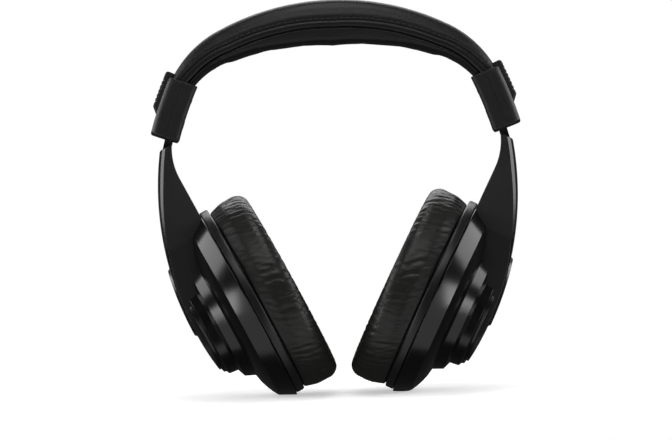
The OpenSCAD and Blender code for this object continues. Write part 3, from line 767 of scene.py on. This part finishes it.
rows = []
length = math.radians(GRIP_TOP - GRIP_FOOT) * (HOUSING_R + HOUSING_T / 2)
for along in np.linspace(0, length, 92):
    lean = GRIP_FOOT + (GRIP_TOP - GRIP_FOOT) * along / length
    high = HOUSING_T / 2 + grip_height(along, length)
    low = HOUSING_T / 2 - 1.2 if lean < LEAN_HIGH + 0.05 else 5.2
    corners = [(low, -GRIP_HALF, 0), (high, -GRIP_HALF + 0.15, 1.1), (high, GRIP_HALF - 0.15, 1.1),
               (low, GRIP_HALF, 0)]
    rows.append([on_housing(lean, out, y) for out, y in rounded(corners, 6)])
on_both_sides("finger_grip", swept(rows), "moulded_rubber", "side", ["grip"], "grip_rubber", sharp=50)
print("finger grip:", round(length, 1), "mm long")

# %% [markdown]
# ## Arm and cup
# The cup is turned: a rim, a glossy conical band, a low dome, and two steps up to the disc that
# carries the arm. The arm is a curved plate that is widest over the cup, narrows to its neck and
# ends square above, where the stem goes in. Its outer edge is rounder near the neck.

# %% The cup's outline, turned
CUP_OUTLINE = rounded([
    (0, 31.2, 0), (20.8, 31.2, 0.5), (23.2, 30.6, 0.3), (23.6, 29.4, 0.3), (25.2, 28.6, 0.35),
    (25.7, 24.2, 0.3), (29.7, 22.8, 0.45), (31.9, 18.0, 0.3), (35.5, 17.3, 14), (38.9, 16.25, 14),
    (42.2, 14.8, 14), (45.4, 13.0, 0.55), (RIM_R, RIM_A + 0.3, 0.35), (RIM_R - 0.4, RIM_A, 0.2),
    (46.7, RIM_A, 0), (43.4, 11.6, 0), (30.5, 15.4, 0), (27, 20.2, 0), (0, 20.2, 0)], 6)
cup = turned(CUP_OUTLINE, 224)

# %% [markdown]
# The arm is swept from its neck down to its round foot. Its outer face is an arc, and its inner
# face runs flat past the cup, then bends away to meet the stem.

# %% The arm, section by section
ARM_FOOT_R, ARM_HALF_W, NECK_HALF_W, NECK_END = 21.4, 20.0, 14.0, -40.0
END_R = 0.6


def arm_half_width(down):
    """Half the arm's width: a taper from the neck, then parallel, then round at the foot."""
    if down < NECK_END:
        return NECK_HALF_W + (ARM_HALF_W - NECK_HALF_W) * (down + ARM_TOP) / (ARM_TOP + NECK_END)
    if down <= 0:
        return ARM_HALF_W
    return min(ARM_HALF_W, math.sqrt(max(0.0, ARM_FOOT_R ** 2 - down ** 2)))


def arm_outer(down):
    """Outer face, an arc that is highest over the cup's middle."""
    return ARM_PEAK - ARM_R + math.sqrt(ARM_R ** 2 - down ** 2)


def arm_inner(down):
    """Inner face: flat beside the cup, then curving out of the way towards the neck."""
    if down > -46:
        return min(14.0, ARM_INNER + (down + 46) * 1.1)
    bend, r, t = 67.7, 30.0, math.radians(CUP_TILT)
    over = -down - bend
    if over <= 0:
        return ARM_INNER
    if over < r * math.sin(t):
        return ARM_INNER - r + math.sqrt(r * r - over * over)
    return ARM_INNER - r * (1 - math.cos(t)) - (over - r * math.sin(t)) * math.tan(t)


def arm_section(down, inset=0.0):
    """One closed section: the outer face is crowned and bevelled near the neck."""
    w, top, low = arm_half_width(down) - inset, arm_outer(down) - inset, arm_inner(down) + inset
    w = max(w, 0.3)
    near_neck = min(1.0, max(0.0, (-down - 20) / 50))
    crown = min(1.3 * near_neck, 0.3 * (top - low))
    bevel = min(0.45 + 1.15 * near_neck, 0.5 * w)
    edge = top - crown
    corners = [(-w, low, 0.5), (-w, edge - bevel, 0.3), (-w + bevel, edge, 0.3),
               (-w / 2, edge + 0.75 * crown, 30), (0, top, 60), (w / 2, edge + 0.75 * crown, 30),
               (w - bevel, edge, 0.3), (w, edge - bevel, 0.3), (w, low, 0.5)]
    return [on_cup(down, y, out) for y, out in rounded(corners, 5, closed=True)]


rows = [arm_section(-ARM_TOP + END_R * (1 - math.cos(q)), END_R * (1 - math.sin(q)))
        for q in np.linspace(0, math.pi / 2, 7)]
full_to = math.sqrt(ARM_FOOT_R ** 2 - ARM_HALF_W ** 2)
rows += [arm_section(down) for down in np.linspace(-ARM_TOP + END_R, full_to, 90)[1:]]
rows += [arm_section(ARM_FOOT_R * math.sin(q))
         for q in np.linspace(math.asin(full_to / ARM_FOOT_R), 1.5, 20)[1:]]
arm = swept(rows)
points, faces = joined(arm, cup)

for side in SIDES:
    ends = on_side([on_cup(0, 0, 0), on_cup(0, 0, 1)], side)
    outwards = Vector(ends[1] - ends[0])

    def polished(polygon):
        """The whole cup is polished, and so is the arm's outer face."""
        return int(polygon.index >= len(arm[1]) or polygon.normal.dot(outwards) > 0.35)

    make_piece(f"{side}_arm_and_cup", on_side(points, side), faces,
               ["spark_textured_abs", "polished_abs"], side + "_arm", [side + "_arm_shell"],
               "gloss_abs", sharp=32, faces_finish=polished)
print("arm and cup:", len(points), "points")

# %% [markdown]
# The inner face of each arm has a small cover over the wire's way and the heads of two screws,
# and the outer face carries a plain round badge with a polished bevel.

# %% Arm covers and badges
def plate_over(outline, out, thickness, bevel):
    """A thin plate over an outline of (down, y) points, standing inwards, bevelled all round."""
    middle = outline.mean(axis=0)
    size = np.linalg.norm(outline - middle, axis=1, keepdims=True)
    levels = [(0, 0)] + [(bevel * (1 - math.cos(q)), thickness - bevel * (1 - math.sin(q)))
                         for q in np.linspace(0, math.pi / 2, 4)]
    return swept([[on_cup(d, y, out - height)
                   for d, y in middle + (outline - middle) * (1 - inset / size)]
                  for inset, height in levels])


cover = rounded([(-61.9, -11.6, 1.2), (-50.7, -13.2, 1.2), (-50.7, 13.2, 1.2), (-61.9, 11.6, 1.2)], 5,
                closed=True)
BADGE_R, BADGE_H, BADGE_DOWN = 17.3, 1.0, -15.0
SCREW_DOWN, SCREW_Y = -63.2, 10.0
badge_rings = [(BADGE_R, -0.6), (BADGE_R, 0.05), (BADGE_R - 0.1, 0.12),
               (BADGE_R - 0.9, BADGE_H - 0.06), (BADGE_R - 1.1, BADGE_H), (BADGE_R - 1.9, BADGE_H),
               (BADGE_R - 2.1, BADGE_H - 0.14), (BADGE_R - 2.3, BADGE_H)]
badge_rings += [(r, BADGE_H) for r in np.linspace(BADGE_R - 3, 0.4, 8)]


def badge_point(r, high, turn):
    """Point of the badge, standing square on the arm's outer arc."""
    down, y = BADGE_DOWN + r * math.cos(turn), r * math.sin(turn)
    slope = math.asin(down / ARM_R)
    return on_cup(down + high * math.sin(slope), y, arm_outer(down) + high * math.cos(slope))


def countersunk(y):
    """A flush screw head with a hexagonal socket, on the inner face just above the cover."""
    rings = []
    for r, depth, hexed in ((1.2, 1.6, 0), (1.8, 0.5, 0), (1.7, -0.02, 0), (1.55, -0.06, 0),
                            (0.85, -0.06, 0.1), (0.8, 0.7, 0.1)):
        ring = []
        for a in np.linspace(0, 2 * math.pi, 24, endpoint=False):
            reach = r * (1 - hexed * abs(math.sin(3 * a)))
            ring.append(on_cup(SCREW_DOWN + reach * math.cos(a), y + reach * math.sin(a),
                               ARM_INNER + depth))
        rings.append(ring)
    return swept(rings)


badge = swept([[badge_point(r, high, a) for a in np.linspace(0, 2 * math.pi, 96, endpoint=False)]
               for r, high in badge_rings])
on_both_sides("wire_cover", plate_over(cover, ARM_INNER + 0.1, 0.2, 0.1), "satin_abs", "arm",
              ["arm_cover"], "black_nylon")
on_both_sides("arm_screw_heads", joined(countersunk(-SCREW_Y), countersunk(SCREW_Y)),
              "black_oxide_steel", "arm", ["arm_screws"])
on_both_sides("round_badge", badge, "turned_badge_abs", "arm", ["badge"], "badge_abs", sharp=28)
print("badge:", 2 * BADGE_R, "mm across")

# %% [markdown]
# ## Ring and cushion
# Behind the rim sits a satin ring, the edge of the baffle that carries the driver. The cushion
# is a foam ring in a thin skin. It is pulled tight over a plate at its back, so the skin gathers
# there and the gathers run across its side as fine curved folds.

# %% The ring behind each rim
ring_outline = rounded([
    (20.6, 1.9, 0), (44, 1.9, 0), (44, 0.7, 0), (48.6, 0.7, 0.9), (48.6, 4.95, 0.8),
    (45, 4.95, 0), (45, 6.8, 0), (43.8, 6.8, 0), (43.8, 4.3, 0), (20.6, 4.3, 0)], 5, closed=True)
on_both_sides("baffle_ring", turned(ring_outline, 192, ring=True), "satin_abs", "arm", ["baffle"],
              "satin_abs", sharp=32)
print("ring:", 2 * ring_outline[:, 0].max().round(1), "mm across")

# %% [markdown]
# The cushion hangs a little lower than the cup's middle. Air pressure rounds its coarse skin, and
# a smooth curve through those points then gives a skin that is fine enough for the folds.

# %% The cushion's section, and its swelling
CUSHION_LOWER = 0.9
cushion_face = CUSHION_BASE - CUSHION_DEPTH
section = rounded([
    (WELL_R + 0.5, CUSHION_BASE - 0.8, 0.8), (WELL_R + 0.5, cushion_face - 0.1, 8.5),
    (RIM_R - 0.6, cushion_face - 0.1, 9.2), (RIM_R - 0.7, -6.0, 9), (RIM_R - 2.5, 0.4, 0.9),
    (RIM_R - 4.5, 0.4, 0.3), (RIM_R - 5, CUSHION_BASE, 0.2), (WELL_R + 4, CUSHION_BASE, 0.3)], 10,
    closed=True)
coarse_around, coarse_across = 128, 36
section = spread(section, coarse_across, closed=True)
coarse = turned(section, coarse_around, ring=True, lower=CUSHION_LOWER)
held = np.tile(section[:, 1] > CUSHION_BASE - 0.6, coarse_around)
swollen = puffed("cushion", coarse[0], coarse[1], held, 0.8)


def finer(grid, around, across):
    """The same closed skin on a finer grid: a smooth curve through the points both ways."""
    for axis, times in ((0, around), (1, across)):
        p = [np.roll(grid, k, axis) for k in (1, 0, -1, -2)]
        parts = []
        for t in np.arange(times) / times:
            weights = (-0.5 * t + t ** 2 - 0.5 * t ** 3, 1 - 2.5 * t ** 2 + 1.5 * t ** 3,
                       0.5 * t + 2 * t ** 2 - 1.5 * t ** 3, -0.5 * t ** 2 + 0.5 * t ** 3)
            parts.append(sum(w * q for w, q in zip(weights, p)))
        shape = list(grid.shape)
        shape[axis] *= times
        grid = np.stack(parts, axis=axis + 1).reshape(shape)
    return grid


# %% [markdown]
# A fold is a narrow groove with a low ridge on each side of it. It starts near the back edge,
# runs across the side at a slant and fades out on the face. Wider, softer ones line the well.

# %% Gathers pressed into the fine skin
FOLD_COUNT, WELL_FOLD_COUNT = 480, 60
SIDE_R, WELL_SIDE_R = 46.0, 30.0


def gathered(grid, seed):
    """The skin with folds across its side and its well, the same each time for a seed."""
    random = np.random.default_rng(seed)
    centre = np.array(on_cup(CUSHION_LOWER, 0, 0))
    out = np.array(on_cup(CUSHION_LOWER, 0, 1)) - centre
    down = np.array(on_cup(CUSHION_LOWER + 1, 0, 0)) - centre
    away = grid - centre
    depth = CUSHION_BASE - away @ out
    flat = away - (away @ out)[:, :, None] * out
    radius = np.linalg.norm(flat, axis=2)
    turn = np.arctan2(flat[:, :, 1], flat @ down)
    normal = np.cross(np.roll(grid, -1, 0) - np.roll(grid, 1, 0),
                      np.roll(grid, -1, 1) - np.roll(grid, 1, 1))
    normal /= np.linalg.norm(normal, axis=2, keepdims=True)
    if np.median(np.sum(normal * flat, axis=2)[depth > 6][radius[depth > 6] > 45]) < 0:
        normal = -normal
    # How far along the skin, from the outer back edge (0) over the face to the well's edge
    path = np.clip(depth, 0, None) + np.clip(RIM_R - 4 - radius, 0, None)
    press = np.zeros(radius.shape)
    for k in range(FOLD_COUNT):
        start, length = random.uniform(-7, 11), random.uniform(8, 20)
        width = random.uniform(0.35, 1.0)
        size = random.uniform(0.06, 0.23) * width ** 0.5
        at, curve = random.uniform(-math.pi, math.pi), random.normal(0.17, 0.06)
        along = (path - start) / length
        away_by = (turn - at - curve * along ** 2 + math.pi) % (2 * math.pi) - math.pi
        near = np.abs(away_by) * SIDE_R / width
        window = np.clip(1 - np.abs(2 * along - 1), 0, 1) ** 0.6
        press += size * window * (np.exp(-near ** 1.6) - 0.5 * np.exp(-((near - 2.1) / 1.1) ** 2))
    press *= np.clip((radius - 35) / 5, 0, 1) * np.clip((depth + 1) / 2, 0, 1)
    inner = np.zeros(radius.shape)
    for k in range(WELL_FOLD_COUNT):
        at, width = random.uniform(-math.pi, math.pi), random.uniform(0.7, 1.6)
        away_by = (turn - at + math.pi) % (2 * math.pi) - math.pi
        near = np.abs(away_by) * WELL_SIDE_R / width
        inner += random.uniform(0.1, 0.3) * np.exp(-near ** 1.5)
    inner *= np.clip((37 - radius) / 4, 0, 1) * np.clip(depth / 2, 0, 1)
    return grid - normal * (press + inner)[:, :, None]


fine = finer(swollen.reshape(coarse_around, coarse_across, 3), 6, 2)
for side, seed in (("left", 11), ("right", 12)):
    skin = gathered(fine, seed)
    rows, columns = skin.shape[:2]
    piece = make_piece(f"{side}_ear_cushion", on_side(skin, side),
                       grid_faces(rows, columns, wrap_rows=True), "thin_leatherette",
                       side + "_arm", [side + "_cushion_cover", side + "_cushion_foam"],
                       "cushion_leatherette", sharp=80)
    print(piece.name, len(piece.data.vertices), "points")

# %% [markdown]
# ## Scrim
# A knitted cloth is stretched over the driver's openings and glued round its edge. It sits back
# in the well and dips very slightly in the middle.

# %% The cloth over each driver
SCRIM_R, SCRIM_OUT, SCRIM_DIP = 29.6, -1.3, 0.35
rings = np.linspace(0.5, SCRIM_R, 16)
points = [on_cup(r * math.cos(a), r * math.sin(a), SCRIM_OUT + SCRIM_DIP * (1 - (r / SCRIM_R) ** 2))
          for r in rings for a in np.linspace(0, 2 * math.pi, 72, endpoint=False)]
faces = grid_faces(len(rings), 72) + [tuple(range(72))]
cloths = on_both_sides("driver_scrim", (points, faces), "knitted_scrim", "arm", ["scrim"],
                       "scrim_cloth")

# %% [markdown]
# ## Floor, light and camera
# The headphones stand on their cups on a white sheet in a white room. The sheet takes their soft
# shadow near them and fades into the room's white further out.

# %% Floor and white room
def stage_material(name, glow, lit_colour=None, fade=None):
    """A white that glows by itself; near the headphones it may also catch light and shadow."""
    material = bpy.data.materials.new(name)
    material.use_nodes = True
    tree = material.node_tree
    tree.nodes.clear()
    out = add(tree, "ShaderNodeEmission", {"Color": linear("#ffffff"), "Strength": glow})
    out = out.outputs["Emission"]
    if lit_colour:
        lit = add(tree, "ShaderNodeBsdfDiffuse", {"Color": linear(lit_colour)})
        near = add(tree, "ShaderNodeAddShader", None, {0: out, 1: lit.outputs["BSDF"]})
        far = add(tree, "ShaderNodeEmission", {"Color": linear("#ffffff"), "Strength": 1.0})
        place = add(tree, "ShaderNodeTexCoord").outputs["Object"]
        reach = add(tree, "ShaderNodeVectorMath", None, {0: place}, operation="LENGTH")
        share = add(tree, "ShaderNodeMapRange",
                    {"From Min": fade[0] * MM, "From Max": fade[1] * MM},
                    {"Value": reach.outputs["Value"]}, interpolation_type="SMOOTHSTEP")
        out = add(tree, "ShaderNodeMixShader", None,
                  {0: share.outputs["Result"], 1: near.outputs["Shader"],
                   2: far.outputs["Emission"]}).outputs["Shader"]
    add(tree, "ShaderNodeOutputMaterial", None, {"Surface": out})
    return material


def stage_piece(name, points, faces, material):
    """A piece of the studio, seen by the camera alone, so that it doesn't wash out the blacks."""
    mesh = bpy.data.meshes.new(name)
    mesh.from_pydata((np.array(points, float) * MM).tolist(), [], faces)
    mesh.materials.append(material)
    mesh.shade_smooth()
    piece = bpy.data.objects.new(name, mesh)
    scene.collection.objects.link(piece)
    piece.visible_glossy = False
    piece.visible_diffuse = False
    piece.visible_shadow = False


ROOM_R = 6000.0
around = np.linspace(0, 2 * math.pi, 96, endpoint=False)
stage_piece("floor", [(r * math.cos(a), r * math.sin(a), floor_z) for r in (1, 400, 1200, ROOM_R)
                      for a in around], grid_faces(4, 96) + [tuple(range(96))],
            stage_material("white_sheet", 0.5, "#f4f4f4", fade=(210, 380)))
stage_piece("room", [(ROOM_R * math.cos(q) * math.cos(a), ROOM_R * math.cos(q) * math.sin(a),
                      floor_z + ROOM_R * math.sin(q)) for q in np.linspace(-0.1, 1.56, 24)
                     for a in around], grid_faces(24, 96) + [tuple(range(23 * 96, 24 * 96))],
            stage_material("white_room", 1.0))

world = bpy.data.worlds.new("studio")
scene.world = world
world.use_nodes = True
world.node_tree.nodes["Background"].inputs["Color"].default_value = (1, 1, 1, 1)
world.node_tree.nodes["Background"].inputs["Strength"].default_value = 0.03
scene.view_settings.view_transform = "Standard"


# %% [markdown]
# ### Light
# A large soft box at each side draws the broad highlights on the turned bands, a small lower pair
# draws the second ones, and a pair below opens the undersides. One behind the crown, one above
# and one in front give the band and the flat faces their grey.

# %% Soft boxes
def soft_box(name, where, towards, size, power):
    """A rectangular area light, in millimetres and watts."""
    data = bpy.data.lights.new(name, "AREA")
    data.shape, data.size, data.size_y, data.energy = "RECTANGLE", size[0] * MM, size[1] * MM, power
    light = bpy.data.objects.new(name, data)
    scene.collection.objects.link(light)
    light.location = Vector(where) * MM
    light.rotation_euler = (Vector(towards) - Vector(where)).to_track_quat("-Z", "Y").to_euler()
    light.visible_camera = False


centre = (0, 0, -90)
for sign in (-1, 1):
    cup_place = (sign * 60, 0, -110)
    soft_box("side_box", (sign * 1000, 160, 235), cup_place, (1250, 560), 7.2)
    soft_box("low_box", (sign * 1000, -700, -420), cup_place, (260, 420), 2.0)
    soft_box("under_box", (sign * 600, -800, -950), cup_place, (900, 1500), 2.6)
soft_box("crown_box", (0, 1000, 640), (0, 0, 0), (1000, 500), 4.2)
soft_box("top_box", (0, -150, 1100), centre, (500, 400), 2.8)
soft_box("front_box", (0, -1300, 1150), centre, (1600, 700), 7)

# %% [markdown]
# ### Camera
# A long lens looks at the headphones straight from the front, level with their middle, and is
# turned by two degrees about its own axis.

# %% Camera
DISTANCE, EYE_Z, EYE_X = 1500.0, -72.0, -0.98
ROLL = math.radians(2.0)
camera_data = bpy.data.cameras.new("camera")
camera_data.lens, camera_data.sensor_width = 168.75, 36.0
camera_data.shift_y = -0.0371
camera_data.clip_end = 50
camera = bpy.data.objects.new("camera", camera_data)
scene.collection.objects.link(camera)
right, up = Vector((math.cos(ROLL), 0, -math.sin(ROLL))), Vector((math.sin(ROLL), 0, math.cos(ROLL)))
turn = Matrix((right, up, right.cross(up))).transposed().to_4x4()
camera.matrix_world = Matrix.Translation(Vector((EYE_X, -DISTANCE, EYE_Z)) * MM) @ turn
scene.camera = camera
